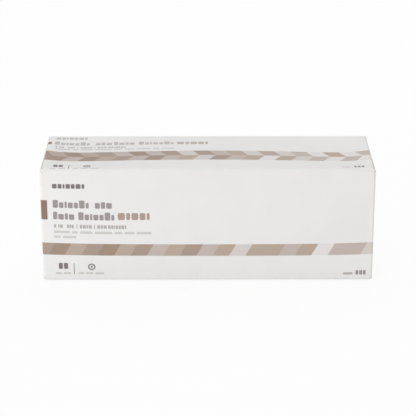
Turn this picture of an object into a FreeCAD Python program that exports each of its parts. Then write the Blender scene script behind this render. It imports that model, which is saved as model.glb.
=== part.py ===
import FreeCAD
import Part

import math
import os

Vector = FreeCAD.Vector

# A sealed folding carton of thin coated board, lying on its long side, in millimetres.
# X runs along the carton, the front panel faces -Y and Z is up. The origin is on the
# resting face, in the middle of the carton. The pack is closed and full, so it is one solid.

# Outside sizes of the pack, measured over its straight folds
carton_length = 170.0
carton_depth = 52.0
carton_height = 61.0

# Board and its scored folds
board_thickness = 0.45
fold_radius = 1.3
dust_fold_radius = 0.8
crease_land = 0.5

# Bulge of the front and back panels: its height, and the run from an end over which it grows
panel_bulge = 3.0
bulge_run = 20.0

# Sag of the top panel: its depth, and the distance of its deepest place from each end
top_sag = 1.25
sag_from_end = 17.0

# Glued side seam: the raw edge of the back panel stops this far above the resting face
seam_edge_height = 2.0

# Glued end flaps
flap_side_gap = 0.8
flap_free_gap = 1.6
flap_taper = 1.8
flap_corner_radius = 2.5

# Rows of points that carry a curved panel, along and across it
rows_along = 28
rows_across = 6

# Sizes that follow from the ones above
half_depth = carton_depth / 2
tube_half_length = carton_length / 2 - 2 * board_thickness
panel_half_length = tube_half_length - dust_fold_radius - crease_land


def unit(vector):
    return vector / vector.Length


def rounded_outline(corners):
    """Closed wire through a list of (point, radius) corners, with an arc at each radius."""
    runs = []
    for index, (corner, radius) in enumerate(corners):
        before = unit(corners[index - 1][0] - corner)
        after = unit(corners[(index + 1) % len(corners)][0] - corner)
        half_angle = before.getAngle(after) / 2
        setback = radius / math.tan(half_angle)
        inward = unit(before + after)
        middle = corner + inward * (radius / math.sin(half_angle) - radius)
        runs.append((corner + before * setback, middle, corner + after * setback, radius))
    edges = []
    for index, (start, middle, end, radius) in enumerate(runs):
        if radius > 0:
            edges.append(Part.Arc(start, middle, end).toShape())
        next_start = runs[(index + 1) % len(runs)][0]
        edges.append(Part.LineSegment(end, next_start).toShape())
    return Part.Wire(edges)


def prism(corners, path):
    return Part.Face(rounded_outline(corners)).extrude(path)


def plan_prism(half_length, radius):
    """Block seen from above, with its four upright end folds rounded."""
    corners = [
        (Vector(-half_length, -half_depth, 0), radius),
        (Vector(half_length, -half_depth, 0), radius),
        (Vector(half_length, half_depth, 0), radius),
        (Vector(-half_length, half_depth, 0), radius),
    ]
    return prism(corners, Vector(0, 0, carton_height))


def side_prism(half_length, radius):
    """Block seen from the front, with the end folds of its top and bottom panels rounded."""
    corners = [
        (Vector(-half_length, -half_depth, 0), radius),
        (Vector(half_length, -half_depth, 0), radius),
        (Vector(half_length, -half_depth, carton_height), radius),
        (Vector(-half_length, -half_depth, carton_height), radius),
    ]
    return prism(corners, Vector(0, carton_depth, 0))


def board_tube():
    """The four panels round the contents, with the back panel lapped on the seam flap."""
    seam_face = half_depth - board_thickness
    left = -tube_half_length
    section = [
        (Vector(left, -half_depth, 0), fold_radius),
        (Vector(left, seam_face, 0), fold_radius),
        (Vector(left, seam_face, seam_edge_height), 0),
        (Vector(left, half_depth, seam_edge_height), 0),
        (Vector(left, half_depth, carton_height), fold_radius),
        (Vector(left, -half_depth, carton_height), fold_radius),
    ]
    tube = prism(section, Vector(2 * tube_half_length, 0, 0))
    tube = tube.common(plan_prism(tube_half_length, dust_fold_radius))
    return tube.common(side_prism(tube_half_length, dust_fold_radius))


def curved_panel(half_width, lift_along):
    """Face over a flat panel, lifted by lift_along(x) on its middle line, straight at its rim."""
    grid = []
    for row in range(rows_along + 1):
        x = panel_half_length * (2 * row / rows_along - 1)
        lift = lift_along(panel_half_length - abs(x))
        line = []
        for step in range(rows_across + 1):
            across = 2 * step / rows_across - 1
            line.append(Vector(x, half_width * across, lift * (1 - across ** 2)))
        grid.append(line)
    surface = Part.BSplineSurface()
    surface.interpolate(grid)
    return surface.toShape()


def bulge_at(distance_from_end):
    return panel_bulge * (1 - math.exp(-distance_from_end / bulge_run))


def sag_at(distance_from_end):
    ratio = distance_from_end / sag_from_end
    return -top_sag * ratio * math.exp(1 - ratio)


def bulged_side(turn, lower_edge):
    """Pad of the pack behind a front or back panel, from lower_edge up to the top fold."""
    upper_edge = carton_height - fold_radius - crease_land
    panel = curved_panel((upper_edge - lower_edge) / 2, bulge_at)
    pad = panel.extrude(Vector(0, 0, -2 * panel_bulge))
    pad.rotate(Vector(0, 0, 0), Vector(1, 0, 0), turn)
    facing = -1 if turn > 0 else 1
    pad.translate(Vector(0, facing * half_depth, (upper_edge + lower_edge) / 2))
    return pad


def top_hollow():
    """The space above the sagging top panel, to be cut away."""
    panel = curved_panel(half_depth - fold_radius - crease_land, sag_at)
    hollow = panel.extrude(Vector(0, 0, 2 * top_sag))
    hollow.translate(Vector(0, 0, carton_height))
    return hollow


def end_flap(end, hinge, plies, lower_edge):
    """Glued flap on the end +X or -X, hinged at the front (-1) or back (+1) upright fold."""
    outer = tube_half_length + plies * board_thickness
    inner = tube_half_length - fold_radius
    upper_edge = carton_height - flap_side_gap
    free = -hinge * (half_depth - flap_free_gap)
    outline = [
        (Vector(end * inner, hinge * half_depth, lower_edge), 0),
        (Vector(end * inner, hinge * half_depth, upper_edge), 0),
        (Vector(end * inner, free, upper_edge - flap_taper), flap_corner_radius),
        (Vector(end * inner, free, lower_edge + flap_taper), flap_corner_radius),
    ]
    flap = prism(outline, Vector(end * (outer - inner), 0, 0))
    return flap.common(plan_prism(outer, fold_radius))


def sealed_carton():
    pack = board_tube()
    pack = pack.fuse(bulged_side(90, fold_radius + crease_land))
    pack = pack.fuse(bulged_side(-90, seam_edge_height + crease_land))
    pack = pack.cut(top_hollow())
    for end in (-1, 1):
        pack = pack.fuse(end_flap(end, 1, 1, seam_edge_height))
        pack = pack.fuse(end_flap(end, -1, 2, flap_side_gap))
    return pack.removeSplitter().Solids[0]


carton = sealed_carton()
os.makedirs("parts", exist_ok=True)
carton.exportStep("parts/carton.step")
print("carton volume in cubic millimetres:", round(carton.Volume))
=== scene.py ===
import math

import bpy
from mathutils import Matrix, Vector


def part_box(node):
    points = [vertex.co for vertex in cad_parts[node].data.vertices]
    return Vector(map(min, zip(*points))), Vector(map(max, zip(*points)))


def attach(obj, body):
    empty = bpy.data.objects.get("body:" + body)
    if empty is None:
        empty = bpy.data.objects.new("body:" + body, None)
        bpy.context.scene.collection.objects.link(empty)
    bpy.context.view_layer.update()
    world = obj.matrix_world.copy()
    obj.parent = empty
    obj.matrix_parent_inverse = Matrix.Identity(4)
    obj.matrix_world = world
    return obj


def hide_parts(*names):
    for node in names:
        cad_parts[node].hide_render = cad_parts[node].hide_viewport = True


# A sealed folding carton of coated board: one folded sheet with its printed front and top.
# Lengths are in metres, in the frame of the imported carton.
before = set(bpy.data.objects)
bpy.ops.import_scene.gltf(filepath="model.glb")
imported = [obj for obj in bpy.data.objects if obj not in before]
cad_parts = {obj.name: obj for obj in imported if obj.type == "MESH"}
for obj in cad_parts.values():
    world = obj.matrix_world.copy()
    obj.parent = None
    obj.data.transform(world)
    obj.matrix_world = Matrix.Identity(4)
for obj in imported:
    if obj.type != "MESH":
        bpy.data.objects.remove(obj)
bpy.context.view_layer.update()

MM = 0.001
NEAR = 0.01 * MM

# The pack's outline, from its solid
carton_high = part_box("carton")[1]
HALF_LENGTH = carton_high.x
HEIGHT = carton_high.z

# Board, folds and the plies that lie over each other on the ends
BOARD = 0.45 * MM
FOLD_RADIUS = 1.3 * MM
DUST_FOLD_RADIUS = 0.8 * MM
CREASE_LAND = 0.5 * MM
GLUE_GAP = 0.02 * MM
TUBE_HALF_LENGTH = HALF_LENGTH - 2 * BOARD
SHEET_HALF_LENGTH = TUBE_HALF_LENGTH - DUST_FOLD_RADIUS
PANEL_HALF_LENGTH = SHEET_HALF_LENGTH - CREASE_LAND
DUST_FLAP_REACH = TUBE_HALF_LENGTH - 2 * GLUE_GAP

# Bulge of the front and back panels and sag of the top panel
PANEL_BULGE = 3.0 * MM
BULGE_RUN = 20 * MM
TOP_SAG = 1.25 * MM
SAG_FROM_END = 17 * MM
HALF_DEPTH = carton_high.y - PANEL_BULGE * (1 - math.exp(-PANEL_HALF_LENGTH / BULGE_RUN))

# Side seam and end flaps
SEAM_FACE = HALF_DEPTH - BOARD - GLUE_GAP
SEAM_EDGE_HEIGHT = 2.0 * MM
SEAM_FLAP_HEIGHT = 14 * MM
FLAP_RELIEF = 0.15 * MM
FLAP_TAPER = 1.8 * MM
FLAP_FREE_GAP = 1.6 * MM
FLAP_CORNER_RADIUS = 2.5 * MM
DUST_FLAP_LENGTH = 22 * MM

# Fineness of the sheet
SHEET_COLUMNS = 92
PANEL_ROWS = 28
SEAM_ROWS = 4
DUST_FLAP_ROWS = 6
FOLD_STEPS = 8
FLAP_CORNER_STEPS = 6
SMOOTH_ANGLE = math.radians(32)

# Grain of the board, in cells to the metre
CLOUD_GRAIN = 90
FIBRE_GRAIN = 1400
RIPPLE_GRAIN = 60
EDGE_GRAIN = 2600

# Ink: its thickness, how far it is set outwards of the board's face, and its fineness
INK_THICKNESS = 0.05 * MM
INK_OUTWARD = 0.6
INK_CELL = 1.8 * MM
INK_START = 10 * MM
INK_CORNER_STEPS = 4

# Rows of blocks and bars: widths, gaps and rounding as shares, bar gaps in millimetres
BLOCK_WIDTHS = (0.95, 0.8, 0.4, 0.9, 0.75, 1.0, 0.55)
BLOCK_RISE = (0.4, 0, 0.15, 0, 0, 0.4, 0)
BLOCK_GAP = 0.2
BLOCK_ROUNDING = 0.2
BAR_ROUNDING = 0.4
BAR_GAP = 1.1
FOOT_BAR_GAP = 1.0
LONG_BARS = (8.2, 3.0, 6.4, 9.0, 4.0, 5.2, 7.6)
SHORT_BARS = (3.4, 7.0)
RULE_WIDTH = 0.45
RING_SIDES = 32
RING_SPACE = 0.17
DOT_REACH = 0.1

# Slanted bars of the two bands, and how their tones fade and beat along the panel
BAND_BARS = 23
BAND_SLANT = 0.55
BAND_OVERRUN = 12 * MM
BAND_FADE = 0.17
FRONT_RHYTHM = (0.2, 1.7, 0.6, 2.8, 1.1)
TOP_RHYTHM = (0.1, 2.2, 0.9, 3.0)

# Taupes of the bands, from dark to light, as screen colours
TAUPES = (
    (141, 117, 102),
    (160, 140, 123),
    (169, 150, 138),
    (183, 166, 152),
    (194, 181, 173),
    (212, 205, 200),
    (227, 222, 219),
)

# Light: what the floor and the room give, and where most lamps point
FLOOR_GLOW = 0.88
ROOM_LIGHT = 0.61
LAMP_AIM = (0, 0, 0.03)


class Value:
    """A shader socket that Python's operators work on, each one adding a Math node."""

    def __init__(self, shader, socket):
        self.shader = shader
        self.socket = socket

    def maths(self, operation, first, second):
        return self.shader.node("ShaderNodeMath", {"operation": operation}, [first, second])

    def __add__(self, other):
        return self.maths("ADD", self, other)

    def __sub__(self, other):
        return self.maths("SUBTRACT", self, other)

    def __rsub__(self, other):
        return self.maths("SUBTRACT", other, self)

    def __mul__(self, other):
        return self.maths("MULTIPLY", self, other)

    __radd__ = __add__
    __rmul__ = __mul__


def socket_of(sockets, key):
    """One of a node's sockets, by its number or its identifier."""
    if isinstance(key, int):
        return sockets[key]
    return next(socket for socket in sockets if socket.identifier == key)


class Shader:
    """A material whose nodes are added one by one round its own main shader."""

    def __init__(self, name):
        self.material = bpy.data.materials.new(name)
        self.material.use_nodes = True
        self.tree = self.material.node_tree
        self.main = self.tree.nodes["Principled BSDF"]
        self.surface = self.tree.nodes["Material Output"].inputs["Surface"]

    def feed(self, socket, value):
        if isinstance(value, Value):
            self.tree.links.new(value.socket, socket)
        else:
            socket.default_value = value

    def node(self, kind, settings=None, inputs=(), output=0):
        """Adds a node, with its settings first, then the values or links of its sockets."""
        made = self.tree.nodes.new(kind)
        for setting, value in (settings or {}).items():
            setattr(made, setting, value)
        keyed = inputs.items() if isinstance(inputs, dict) else enumerate(inputs)
        for key, value in keyed:
            self.feed(socket_of(made.inputs, key), value)
        return Value(self, socket_of(made.outputs, output))

    def object_places(self):
        return self.node("ShaderNodeTexCoord", output="Object")

    def noise(self, places, scale, detail, roughness=0.5):
        inputs = {"Vector": places, "Scale": scale, "Detail": detail, "Roughness": roughness}
        return self.node("ShaderNodeTexNoise", inputs=inputs)

    def blend(self, share, first, second):
        """Colour between two colours, by a share from 0 to 1."""
        inputs = {"Factor_Float": share, "A_Color": first, "B_Color": second}
        return self.node("ShaderNodeMix", {"data_type": "RGBA"}, inputs, "Result_Color")

    def bump(self, height, distance, strength=1.0):
        inputs = {"Height": height, "Distance": distance, "Strength": strength}
        return self.node("ShaderNodeBump", inputs=inputs)

    def finish(self, sockets):
        """Gives the main shader its values and links, and returns the material."""
        for key, value in sockets.items():
            self.feed(self.main.inputs[key], value)
        return self.material


def colour(red, green, blue):
    """A screen colour, each part from 0 to 255, as the linear colour that a shader takes."""
    parts = []
    for part in (red / 255, green / 255, blue / 255):
        parts.append(part / 12.92 if part <= 0.04045 else ((part + 0.055) / 1.055) ** 2.4)
    return (*parts, 1)


# Finishes
def coated_board():
    """White clay-coated board: faint clouds of fibre, a satin varnish and a fine tooth."""
    shader = Shader("coated_board")
    places = shader.object_places()
    clouds = shader.noise(places, CLOUD_GRAIN, 4)
    fibre = shader.noise(places, FIBRE_GRAIN, 3, 0.6)
    relief = shader.noise(places, RIPPLE_GRAIN, 2) + fibre * 0.12
    tint = clouds * 0.6 + fibre * 0.4
    return shader.finish(
        {
            "Base Color": shader.blend(tint, colour(229, 228, 226), colour(238, 237, 236)),
            "Roughness": 0.42 + (fibre - 0.5) * 0.2,
            "Normal": shader.bump(relief, 0.12 * MM, 0.6),
            "Specular IOR Level": 0.4,
        }
    )


def cut_edge():
    """Raw edge of the board, where the die cut it: layered fibre, without any coating."""
    shader = Shader("cut_edge")
    fibre = shader.noise(shader.object_places(), EDGE_GRAIN, 4, 0.7)
    return shader.finish(
        {
            "Base Color": shader.blend(fibre, colour(206, 201, 193), colour(232, 229, 224)),
            "Roughness": 0.92,
            "Normal": shader.bump(fibre, 0.05 * MM),
        }
    )


def ink(name, *tint):
    """Matt offset ink on the board's coating, with the board's own tooth under it."""
    shader = Shader(name)
    fibre = shader.noise(shader.object_places(), FIBRE_GRAIN, 3, 0.6)
    return shader.finish(
        {
            "Base Color": colour(*tint),
            "Roughness": 0.5 + (fibre - 0.5) * 0.24,
            "Normal": shader.bump(fibre, 0.015 * MM, 0.5),
            "Specular IOR Level": 0.35,
        }
    )


def mixed_inks():
    """The pack's inks by name."""
    return {
        "taupes": [ink("taupe_" + str(i + 1), *tint) for i, tint in enumerate(TAUPES)],
        "dark": ink("dark_ink", 125, 117, 116),
        "grey": ink("grey_ink", 156, 148, 147),
        "light": ink("light_ink", 182, 176, 173),
        "faint": ink("faint_ink", 192, 187, 184),
        "pale": ink("pale_ink", 205, 202, 199),
        "brown": ink("brown_ink", 172, 152, 142),
        "light brown": ink("light_brown_ink", 190, 178, 172),
    }


# Modelling by hand, one operator at a time
def start_on(piece):
    bpy.ops.object.select_all(action="DESELECT")
    piece.select_set(True)
    bpy.context.view_layer.objects.active = piece


def added(name, size=(1, 1, 1)):
    """The primitive that was just added, named, with its place and size in its mesh."""
    piece = bpy.context.object
    piece.name = name
    piece.scale = size
    bpy.ops.object.transform_apply(location=True, rotation=True, scale=True)
    return piece


def select_where(piece, wanted):
    """Goes to edit mode with only the vertices selected whose place is wanted."""
    bpy.ops.object.mode_set(mode="EDIT")
    bpy.ops.mesh.select_mode(type="VERT")
    bpy.ops.mesh.select_all(action="DESELECT")
    bpy.ops.object.mode_set(mode="OBJECT")
    for vertex in piece.data.vertices:
        vertex.select = wanted(vertex.co)
    bpy.ops.object.mode_set(mode="EDIT")


def near(one, other):
    return abs(one - other) < NEAR


def straight(start, end, steps):
    return [start.lerp(end, step / steps) for step in range(1, steps + 1)]


def quarter_turn(start, corner, end, steps):
    """Points of a quarter circle that leaves start and reaches end, round a square corner."""
    centre = start + end - corner
    points = []
    for step in range(1, steps + 1):
        angle = math.pi / 2 * step / steps
        points.append(
            centre + (start - centre) * math.cos(angle) + (end - centre) * math.sin(angle)
        )
    return points


def extrude_by(x, y, z):
    """Extrudes the selected row of edges once."""
    bpy.ops.mesh.extrude_region_move(TRANSFORM_OT_translate={"value": (x, y, z)})


def extrude_along(path):
    """Extrudes the selected row of edges from each point of the path to the next."""
    for here, there in zip(path, path[1:]):
        extrude_by(*(there - here))


def extrude_flap(path, half_widths, middle, across):
    """Extrudes a flap along a path, its row of edges set to a half width at each point."""
    for index in range(1, len(path)):
        extrude_along(path[index - 1 : index + 1])
        share = half_widths[index] / half_widths[index - 1]
        size = (1, 1, share) if across == "Z" else (1, share, 1)
        bpy.ops.transform.resize(value=size, center_override=middle)


# The board sheet
def fold_tube(sheet):
    """Wraps the front panel's sheet round the contents, down to the lapped side seam."""
    front_top = Vector((0, -HALF_DEPTH, HEIGHT - FOLD_RADIUS))
    top_front = Vector((0, -HALF_DEPTH + FOLD_RADIUS, HEIGHT))
    top_back = Vector((0, HALF_DEPTH - FOLD_RADIUS, HEIGHT))
    back_top = Vector((0, HALF_DEPTH, HEIGHT - FOLD_RADIUS))
    back_edge = Vector((0, HALF_DEPTH, SEAM_EDGE_HEIGHT))
    path = [front_top]
    path += quarter_turn(front_top, Vector((0, -HALF_DEPTH, HEIGHT)), top_front, FOLD_STEPS)
    path += straight(top_front, top_back, PANEL_ROWS)
    path += quarter_turn(top_back, Vector((0, HALF_DEPTH, HEIGHT)), back_top, FOLD_STEPS)
    path += straight(back_top, back_edge, PANEL_ROWS)
    select_where(sheet, lambda place: near(place.z, HEIGHT - FOLD_RADIUS))
    extrude_along(path)

    front_foot = Vector((0, -HALF_DEPTH, FOLD_RADIUS))
    foot_front = Vector((0, -HALF_DEPTH + FOLD_RADIUS, 0))
    foot_back = Vector((0, SEAM_FACE - FOLD_RADIUS, 0))
    seam_foot = Vector((0, SEAM_FACE, FOLD_RADIUS))
    seam_edge = Vector((0, SEAM_FACE, SEAM_FLAP_HEIGHT))
    path = [front_foot]
    path += quarter_turn(front_foot, Vector((0, -HALF_DEPTH, 0)), foot_front, FOLD_STEPS)
    path += straight(foot_front, foot_back, PANEL_ROWS)
    path += quarter_turn(foot_back, Vector((0, SEAM_FACE, 0)), seam_foot, FOLD_STEPS)
    path += straight(seam_foot, seam_edge, SEAM_ROWS)
    select_where(sheet, lambda place: near(place.z, FOLD_RADIUS) and place.y < 0)
    extrude_along(path)


def flap_reach(hinge):
    """How far from the middle the outer face of the front (-1) or back (+1) flap lies."""
    return TUBE_HALF_LENGTH + (BOARD - GLUE_GAP if hinge > 0 else 2 * BOARD)


def flap_turn_start(hinge):
    return max(flap_reach(hinge) - FOLD_RADIUS, SHEET_HALF_LENGTH)


def round_corner(sheet, end, upper, hinge):
    """Closes a long fold at the end with a rounded corner, between the flaps beside it."""
    turn_start = flap_turn_start(hinge)
    turn = flap_reach(hinge) - turn_start
    wall = HALF_DEPTH if upper or hinge < 0 else SEAM_FACE
    middle_y = hinge * (wall - FOLD_RADIUS)
    middle_z = HEIGHT - FOLD_RADIUS if upper else FOLD_RADIUS

    def on_fold(place):
        outward = hinge * (place.y - middle_y)
        beyond = (place.z - middle_z) * (1 if upper else -1)
        return (
            near(place.x, end * SHEET_HALF_LENGTH)
            and outward > -NEAR
            and beyond > -NEAR
            and math.hypot(outward, beyond) < FOLD_RADIUS + NEAR
        )

    select_where(sheet, on_fold)
    if turn_start > SHEET_HALF_LENGTH:
        extrude_by(end * (turn_start - SHEET_HALF_LENGTH), 0, 0)
    forward, width = 0, 1
    for step in range(1, FOLD_STEPS + 1):
        angle = math.pi / 2 * step / FOLD_STEPS
        there = turn * math.sin(angle)
        extrude_by(end * (there - forward), 0, 0)
        if step == FOLD_STEPS:
            bpy.ops.mesh.merge(type="CENTER")
            break
        share = math.cos(angle) / width
        bpy.ops.transform.resize(value=(1, share, share), center_override=(0, middle_y, middle_z))
        forward, width = there, math.cos(angle)


def close_seam_end(sheet, end):
    """Turns the foot of the seam flap in behind the back flap, where a gap would show."""
    row = FOLD_RADIUS + (SEAM_FLAP_HEIGHT - FOLD_RADIUS) / SEAM_ROWS
    select_where(
        sheet,
        lambda place: near(place.x, end * SHEET_HALF_LENGTH)
        and near(place.y, SEAM_FACE)
        and FOLD_RADIUS - NEAR < place.z < row + NEAR,
    )
    extrude_by(0, -2 * FOLD_RADIUS, 0)


def fold_major_flap(sheet, end, hinge):
    """Turns in the flap on the front (-1) or back (+1) panel and lays it over the end."""
    reach = flap_reach(hinge)
    turn_start = flap_turn_start(hinge)
    root = Vector((end * SHEET_HALF_LENGTH, hinge * HALF_DEPTH, 0))
    bend = Vector((end * turn_start, hinge * HALF_DEPTH, 0))
    corner = Vector((end * reach, hinge * HALF_DEPTH, 0))
    turned = Vector((end * reach, hinge * (HALF_DEPTH - FOLD_RADIUS), 0))
    free = Vector((end * reach, -hinge * (HALF_DEPTH - FLAP_FREE_GAP), 0))
    low = SEAM_EDGE_HEIGHT if hinge > 0 else FOLD_RADIUS
    high = HEIGHT - FOLD_RADIUS
    half, middle = (high - low) / 2, (low + high) / 2
    path = [root]
    if turn_start > SHEET_HALF_LENGTH:
        path.append(bend)
    path += quarter_turn(bend, corner, turned, FOLD_STEPS)
    widths = [half] + [half - FLAP_RELIEF] * (len(path) - 1)
    path += straight(turned, free, PANEL_ROWS)
    for row in range(1, PANEL_ROWS + 1):
        widths.append(half - FLAP_RELIEF - (FLAP_TAPER - FLAP_RELIEF) * row / PANEL_ROWS)
    select_where(
        sheet,
        lambda place: near(place.x, root.x)
        and near(place.y, root.y)
        and low - NEAR < place.z < high + NEAR,
    )
    extrude_flap(path, widths, Vector((0, 0, middle)), "Z")
    select_where(
        sheet,
        lambda place: near(place.x, free.x)
        and near(place.y, free.y)
        and abs(place.z - middle) > widths[-1] - NEAR,
    )
    bpy.ops.mesh.bevel(offset=FLAP_CORNER_RADIUS, segments=FLAP_CORNER_STEPS, affect="VERTICES")


def fold_dust_flap(sheet, end, upper):
    """Turns in the flap on the top or bottom panel, under the two wide flaps."""
    face = HEIGHT if upper else 0
    inward = -1 if upper else 1
    back = (HALF_DEPTH if upper else SEAM_FACE) - FOLD_RADIUS
    front = -HALF_DEPTH + FOLD_RADIUS
    radius = DUST_FLAP_REACH - SHEET_HALF_LENGTH
    root = Vector((end * SHEET_HALF_LENGTH, 0, face))
    corner = Vector((end * DUST_FLAP_REACH, 0, face))
    turned = Vector((end * DUST_FLAP_REACH, 0, face + inward * radius))
    free = Vector((end * DUST_FLAP_REACH, 0, face + inward * DUST_FLAP_LENGTH))
    path = [root] + quarter_turn(root, corner, turned, FOLD_STEPS)
    path += straight(turned, free, DUST_FLAP_ROWS)
    half = (back - front) / 2
    widths = [half] + [half - FLAP_RELIEF] * (len(path) - 1)
    select_where(
        sheet,
        lambda place: near(place.x, root.x)
        and near(place.z, face)
        and front - NEAR < place.y < back + NEAR,
    )
    extrude_flap(path, widths, Vector((0, (back + front) / 2, 0)), "Y")


def press(piece, name, axis, depth, share):
    """Moves vertices along an axis by depth times their share, as the contents push them."""
    group = piece.vertex_groups.new(name=name)
    for vertex in piece.data.vertices:
        amount = share(vertex.co)
        if amount > 0:
            group.add([vertex.index], amount, "REPLACE")
    bend = piece.modifiers.new(name, "DISPLACE")
    bend.vertex_group = name
    bend.direction = axis
    bend.mid_level = 0
    bend.strength = depth
    bpy.ops.object.modifier_apply(modifier=name)


def bulge_share(face, lower_edge):
    """Share of the bulge at a place of the upright panel at face, above its lower edge."""
    low = lower_edge + CREASE_LAND
    high = HEIGHT - FOLD_RADIUS - CREASE_LAND

    def share(place):
        across = (2 * place.z - low - high) / (high - low)
        along = PANEL_HALF_LENGTH - abs(place.x)
        if abs(across) >= 1 or along <= 0 or not near(place.y, face):
            return 0
        return (1 - math.exp(-along / BULGE_RUN)) * (1 - across**2)

    return share


def sag_share(place):
    across = place.y / (HALF_DEPTH - FOLD_RADIUS - CREASE_LAND)
    along = (PANEL_HALF_LENGTH - abs(place.x)) / SAG_FROM_END
    if abs(across) >= 1 or along <= 0 or not near(place.z, HEIGHT):
        return 0
    return along * math.exp(1 - along) * (1 - across**2)


def fold_carton():
    """The whole board sheet, folded and glued shut, as one piece."""
    bpy.ops.object.select_all(action="DESELECT")
    bpy.ops.mesh.primitive_grid_add(
        x_subdivisions=SHEET_COLUMNS,
        y_subdivisions=PANEL_ROWS,
        size=1,
        rotation=(math.pi / 2, 0, 0),
        location=(0, -HALF_DEPTH, HEIGHT / 2),
    )
    sheet = added("folded_carton", (2 * SHEET_HALF_LENGTH, HEIGHT - 2 * FOLD_RADIUS, 1))
    fold_tube(sheet)
    for end in (-1, 1):
        for hinge in (1, -1):
            fold_major_flap(sheet, end, hinge)
        for upper in (True, False):
            fold_dust_flap(sheet, end, upper)
        close_seam_end(sheet, end)
        for upper in (True, False):
            for hinge in (-1, 1):
                round_corner(sheet, end, upper, hinge)
    bpy.ops.mesh.select_all(action="SELECT")
    bpy.ops.mesh.normals_make_consistent(inside=False)
    bpy.ops.object.mode_set(mode="OBJECT")
    press(sheet, "front", "Y", -PANEL_BULGE, bulge_share(-HALF_DEPTH, FOLD_RADIUS))
    press(sheet, "back", "Y", PANEL_BULGE, bulge_share(HALF_DEPTH, SEAM_EDGE_HEIGHT))
    press(sheet, "top", "Z", -TOP_SAG, sag_share)
    sheet.data.materials.append(coated_board())
    sheet.data.materials.append(cut_edge())
    wall = sheet.modifiers.new("board", "SOLIDIFY")
    wall.thickness = BOARD
    wall.offset = -1
    wall.material_offset_rim = 1
    bpy.ops.object.modifier_apply(modifier="board")
    bpy.ops.object.shade_smooth_by_angle(angle=SMOOTH_ANGLE)
    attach(sheet, "root")
    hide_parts("carton")
    return sheet


# The print: plain fields of ink, in millimetres from a panel's lower left corner
def field(left, low, width, height, finish, rounding=0.3):
    """A rectangle of ink with rounded corners."""
    middle_x = (left + width / 2) * MM
    middle_y = (low + height / 2) * MM
    bpy.ops.object.select_all(action="DESELECT")
    bpy.ops.mesh.primitive_grid_add(
        x_subdivisions=max(1, round(width * MM / INK_CELL)),
        y_subdivisions=max(1, round(height * MM / INK_CELL)),
        size=1,
        location=(middle_x, middle_y, 0),
    )
    piece = added("field", (width * MM, height * MM, 1))
    if rounding > 0:
        select_where(
            piece,
            lambda at: near(abs(at.x - middle_x), width / 2 * MM)
            and near(abs(at.y - middle_y), height / 2 * MM),
        )
        bpy.ops.mesh.bevel(offset=rounding * MM, segments=INK_CORNER_STEPS, affect="VERTICES")
        bpy.ops.object.mode_set(mode="OBJECT")
    piece.data.materials.append(finish)
    return piece


def ring(left, low, width, line, finish):
    """A plain ring round a dot."""
    centre = Vector(((left + width / 2) * MM, (low + width / 2) * MM, 0))
    bpy.ops.object.select_all(action="DESELECT")
    bpy.ops.mesh.primitive_circle_add(
        vertices=RING_SIDES, radius=width / 2 * MM, fill_type="NGON", location=centre
    )
    piece = added("ring")
    bpy.ops.object.mode_set(mode="EDIT")
    bpy.ops.mesh.select_mode(type="FACE")
    bpy.ops.mesh.select_all(action="SELECT")
    bpy.ops.mesh.inset(thickness=line * MM)
    bpy.ops.mesh.inset(thickness=RING_SPACE * width * MM)
    bpy.ops.object.mode_set(mode="OBJECT")
    for face in piece.data.polygons:
        away = (face.center - centre).length
        face.select = DOT_REACH * width * MM < away < (width / 2 - line) * MM
    bpy.ops.object.mode_set(mode="EDIT")
    bpy.ops.mesh.delete(type="FACE")
    bpy.ops.object.mode_set(mode="OBJECT")
    piece.data.materials.append(finish)
    return piece


def bars(left, low, height, lengths, gap, finish):
    """A line of thin bars with round ends."""
    line = []
    for length in lengths:
        line.append(field(left, low, length, height, finish, BAR_ROUNDING * height))
        left += length + gap
    return line


def blocks(left, low, height, count, pitch, finish, rise=(0,)):
    """A row of rounded blocks, wide and narrow ones, some of them taller by a share."""
    row = []
    for index in range(count):
        width = pitch * BLOCK_WIDTHS[(index + count) % len(BLOCK_WIDTHS)]
        tall = height * (1 + rise[index % len(rise)])
        row.append(field(left, low, width, tall, finish, BLOCK_ROUNDING * pitch))
        left += width + BLOCK_GAP * pitch
    return row


def main_rows(places, finish, accent):
    """Two pairs of rows of tall and low blocks, and one of level blocks in an accent ink."""
    (left, low), (next_left, next_low), accent_place = places
    row = blocks(left, low, 3.0, 7, 2.8, finish, BLOCK_RISE)
    row += blocks(left + 21.5, low, 3.0, 3, 2.8, finish, BLOCK_RISE[1:])
    row += blocks(next_left, next_low, 3.0, 4, 2.8, finish, BLOCK_RISE)
    row += blocks(next_left + 12.9, next_low, 3.0, 7, 2.8, finish, BLOCK_RISE)
    return row + blocks(*accent_place, 3.7, 5, 3.6, accent)


def ruled_row(left, low, finish):
    """A line of small blocks in groups, parted by two upright rules."""
    groups = ((0.2, 1, 1.3), (2.3, 2, 1.6), (6.8, 3, 1.15), (13.4, 4, 1.6))
    groups += ((22.3, 3, 1.6), (27.8, 7, 1.42))
    row = [field(left + x, low - 0.2, RULE_WIDTH, 2.4, finish, 0) for x in (11.7, 20.7)]
    for start, count, pitch in groups:
        row += blocks(left + start, low, 1.95, count, pitch, finish)
    return row


def foot_marks(left, low, dark, grey, pale):
    """Two tall blocks, a rule and a ring at the foot, over thin bars."""
    marks = [field(left + 1.7 + x, low + 3.0, 2.1, 3.4, dark, 0.45) for x in (0, 2.7)]
    marks += bars(left, low, 1.05, (3.1, 3.8), FOOT_BAR_GAP, pale)
    marks.append(field(left + 9.4, low - 0.1, RULE_WIDTH, 6.3, grey, 0))
    marks.append(ring(left + 16.8, low + 2.4, 3.8, 0.65, dark))
    return marks + bars(left + 11.8, low, 1.05, (2.8, 3.8, 4.6), FOOT_BAR_GAP, pale)


def corner_blocks(left, low, height, finish):
    """Three small upright blocks."""
    return [field(left + x, low, 1.4, height, finish) for x in (0, 1.9, 3.8)]


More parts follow.
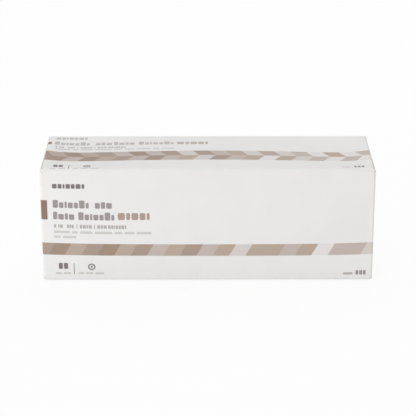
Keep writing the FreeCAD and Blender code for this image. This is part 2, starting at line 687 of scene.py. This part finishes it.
def band(low, height, rows, rhythm, taupes, chevron):
    """Slanted bars over a panel's whole length, as one strip of differently inked faces."""
    length = 2 * (HALF_LENGTH + BAND_OVERRUN)
    middle = (low + height / 2) * MM
    bpy.ops.object.select_all(action="DESELECT")
    bpy.ops.mesh.primitive_grid_add(
        x_subdivisions=4 * BAND_BARS,
        y_subdivisions=rows,
        size=1,
        location=(HALF_LENGTH, middle, 0),
    )
    strip = added("band", (length, height * MM, 1))
    for finish in taupes:
        strip.data.materials.append(finish)
    for face in strip.data.polygons:
        bar = int((face.center.x + BAND_OVERRUN) / length * BAND_BARS)
        beat = bar + (1 if chevron and face.center.y > middle else 0)
        tone = round(bar * BAND_FADE + rhythm[beat % len(rhythm)])
        face.material_index = min(len(taupes) - 1, tone)
    for level in sorted({round(v.co.y, 7) for v in strip.data.vertices}):
        lean = -abs(level - middle) if chevron else level - middle
        select_where(strip, lambda at: near(at.y, level))
        bpy.ops.transform.translate(value=(lean * BAND_SLANT, 0, 0))
    bpy.ops.object.mode_set(mode="OBJECT")
    return strip


def cut_to_folds(piece, radius, half_length):
    """Cuts a field along the steps of the end folds, and off where the folds end."""
    start_on(piece)
    bpy.ops.object.mode_set(mode="EDIT")
    for end in (-1, 1):
        for step in range(FOLD_STEPS + 1):
            reach = half_length - radius + radius * math.sin(math.pi / 2 * step / FOLD_STEPS)
            reach = min(reach, half_length - NEAR)
            bpy.ops.mesh.select_all(action="SELECT")
            bpy.ops.mesh.bisect(
                plane_co=(HALF_LENGTH + end * reach, 0, 0),
                plane_no=(end, 0, 0),
                clear_outer=step == FOLD_STEPS,
            )
    bpy.ops.object.mode_set(mode="OBJECT")


def lay_on(carton, name, pieces, upright, shift):
    """Joins the fields, sets them before their panel and presses them on to the board."""
    start_on(pieces[0])
    for piece in pieces:
        piece.select_set(True)
    bpy.ops.object.join()
    sheet = pieces[0]
    sheet.name = name
    sheet.rotation_euler = (math.pi / 2 if upright else 0, 0, 0)
    sheet.location = shift
    bpy.ops.object.transform_apply(location=True, rotation=True, scale=True)
    lay = sheet.modifiers.new("lay", "SHRINKWRAP")
    lay.target = carton
    lay.wrap_method = "PROJECT"
    lay.use_project_y = upright
    lay.use_project_z = not upright
    lay.use_positive_direction = upright
    lay.use_negative_direction = not upright
    bpy.ops.object.modifier_apply(modifier="lay")
    body = sheet.modifiers.new("ink", "SOLIDIFY")
    body.thickness = INK_THICKNESS
    body.offset = INK_OUTWARD
    bpy.ops.object.modifier_apply(modifier="ink")
    bpy.ops.object.shade_smooth_by_angle(angle=SMOOTH_ANGLE)
    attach(sheet, "root")


def print_front(carton, inks):
    taupes, dark, grey, pale = inks["taupes"], inks["dark"], inks["grey"], inks["pale"]
    pieces = blocks(6.1, 51.0, 2.4, 7, 2.5, dark)
    pieces += main_rows(((6.2, 40.6), (6.2, 34.3), (39.2, 34.65)), grey, inks["brown"])
    pieces += ruled_row(6.3, 29.7, inks["light"])
    pieces += bars(6.3, 26.8, 1.3, LONG_BARS, BAR_GAP, pale)
    pieces += bars(6.3, 24.1, 1.3, SHORT_BARS, BAR_GAP, pale)
    strip = band(14.6, 6.6, 3, FRONT_RHYTHM, taupes, False)
    pieces.append(strip)
    pieces += foot_marks(6.5, 3.6, dark, grey, pale)
    pieces += bars(154.8, 3.2, 1.2, (5.0,), BAR_GAP, inks["light"])
    pieces += corner_blocks(161.3, 3.1, 2.5, grey)
    tab = field(0.02, 34.0, 3.3, 10.5, taupes[0], 0)
    pieces.append(tab)
    for piece in (strip, tab):
        cut_to_folds(piece, FOLD_RADIUS, HALF_LENGTH)
    lay_on(carton, "front_print", pieces, True, (-HALF_LENGTH, -HALF_DEPTH - INK_START, 0))


def print_top(carton, inks):
    taupes, faint, grey, pale = inks["taupes"], inks["faint"], inks["grey"], inks["pale"]
    pieces = blocks(5.0, 46.6, 2.4, 7, 2.5, faint)
    pieces += main_rows(((4.6, 39.0), (35.8, 39.0), (68.9, 38.8)), faint, inks["light brown"])
    pieces += ruled_row(5.0, 34.8, faint)
    pieces += bars(5.3, 32.2, 1.3, LONG_BARS + SHORT_BARS, BAR_GAP, pale)
    strip = band(15.2, 13.6, 6, TOP_RHYTHM, taupes, True)
    pieces.append(strip)
    pieces += foot_marks(4.9, 1.6, inks["dark"], grey, pale)
    pieces += bars(153.0, 3.6, 1.2, (4.8,), BAR_GAP, pale)
    pieces += corner_blocks(159.2, 3.5, 2.6, grey)
    tab = field(0.95, 38.8, 2.0, 3.4, taupes[0], 0)
    pieces.append(tab)
    for piece in (strip, tab):
        cut_to_folds(piece, DUST_FOLD_RADIUS, DUST_FLAP_REACH)
    lay_on(carton, "top_print", pieces, False, (-HALF_LENGTH, -HALF_DEPTH, HEIGHT + INK_START))


# Light, floor and camera
def white_room():
    """Pale floor that keeps the carton's shadow, and a white background."""
    bpy.ops.object.select_all(action="DESELECT")
    bpy.ops.mesh.primitive_plane_add(size=8, location=(0, 0, -0.2 * MM))
    floor = added("floor")
    shader = Shader("floor")
    shader.finish(
        {"Base Color": colour(251, 251, 251), "Roughness": 0.9, "Specular IOR Level": 0.0}
    )
    paper = Value(shader, shader.main.outputs[0])
    glow = shader.node("ShaderNodeEmission", inputs={"Color": (1, 1, 1, 1), "Strength": 1.0})
    seen = shader.node("ShaderNodeLightPath", output="Is Camera Ray") * FLOOR_GLOW
    mixed = shader.node("ShaderNodeMixShader", inputs=[seen, paper, glow])
    shader.feed(shader.surface, mixed)
    floor.data.materials.append(shader.material)

    world = bpy.data.worlds.new("white_room")
    world.use_nodes = True
    background = world.node_tree.nodes["Background"]
    background.inputs["Color"].default_value = (1, 1, 1, 1)
    background.inputs["Strength"].default_value = ROOM_LIGHT
    bpy.context.scene.world = world


def soft_lamp(name, place, aim, size, power):
    """A rectangle of soft light that isn't seen itself."""
    data = bpy.data.lights.new(name, "AREA")
    data.shape = "RECTANGLE"
    data.size, data.size_y = size
    data.energy = power
    lamp = bpy.data.objects.new(name, data)
    lamp.location = place
    lamp.rotation_euler = (Vector(aim) - Vector(place)).to_track_quat("-Z", "Y").to_euler()
    lamp.visible_camera = False
    bpy.context.scene.collection.objects.link(lamp)


def photo_camera():
    """Camera at the photograph's angle, a little above and in front of the carton."""
    elevation = math.radians(21.6)
    turn = math.radians(-0.14)
    distance = 0.9
    pixels_per_metre = 1904
    sensor = 36.0
    picture = 416
    aim = Vector((0.15 * MM, 0, 29.85 * MM))
    level = math.cos(elevation)
    back = Vector((math.sin(turn) * level, -math.cos(turn) * level, math.sin(elevation)))
    data = bpy.data.cameras.new("photo_camera")
    data.sensor_width = sensor
    data.lens = sensor * pixels_per_metre * distance / picture
    camera = bpy.data.objects.new("photo_camera", data)
    camera.location = aim + back * distance
    camera.rotation_euler = (-back).to_track_quat("-Z", "Y").to_euler()
    bpy.context.scene.collection.objects.link(camera)
    bpy.context.scene.camera = camera


bpy.context.scene.view_settings.view_transform = "Standard"
carton = fold_carton()
inks = mixed_inks()
print_front(carton, inks)
print_top(carton, inks)
white_room()
photo_camera()
soft_lamp("left_window", (-1.0, -1.0, 0.12), LAMP_AIM, (0.8, 0.3), 7.4)
soft_lamp("overhead", (0, 0.1, 1.2), LAMP_AIM, (1.2, 1.2), 3.4)
soft_lamp("right_fill", (1.0, -0.9, 0.15), LAMP_AIM, (0.8, 0.3), 0.9)
soft_lamp("back_fill", (0, 0.9, 0.9), (0, 0, 0.05), (1.2, 0.6), 2.4)
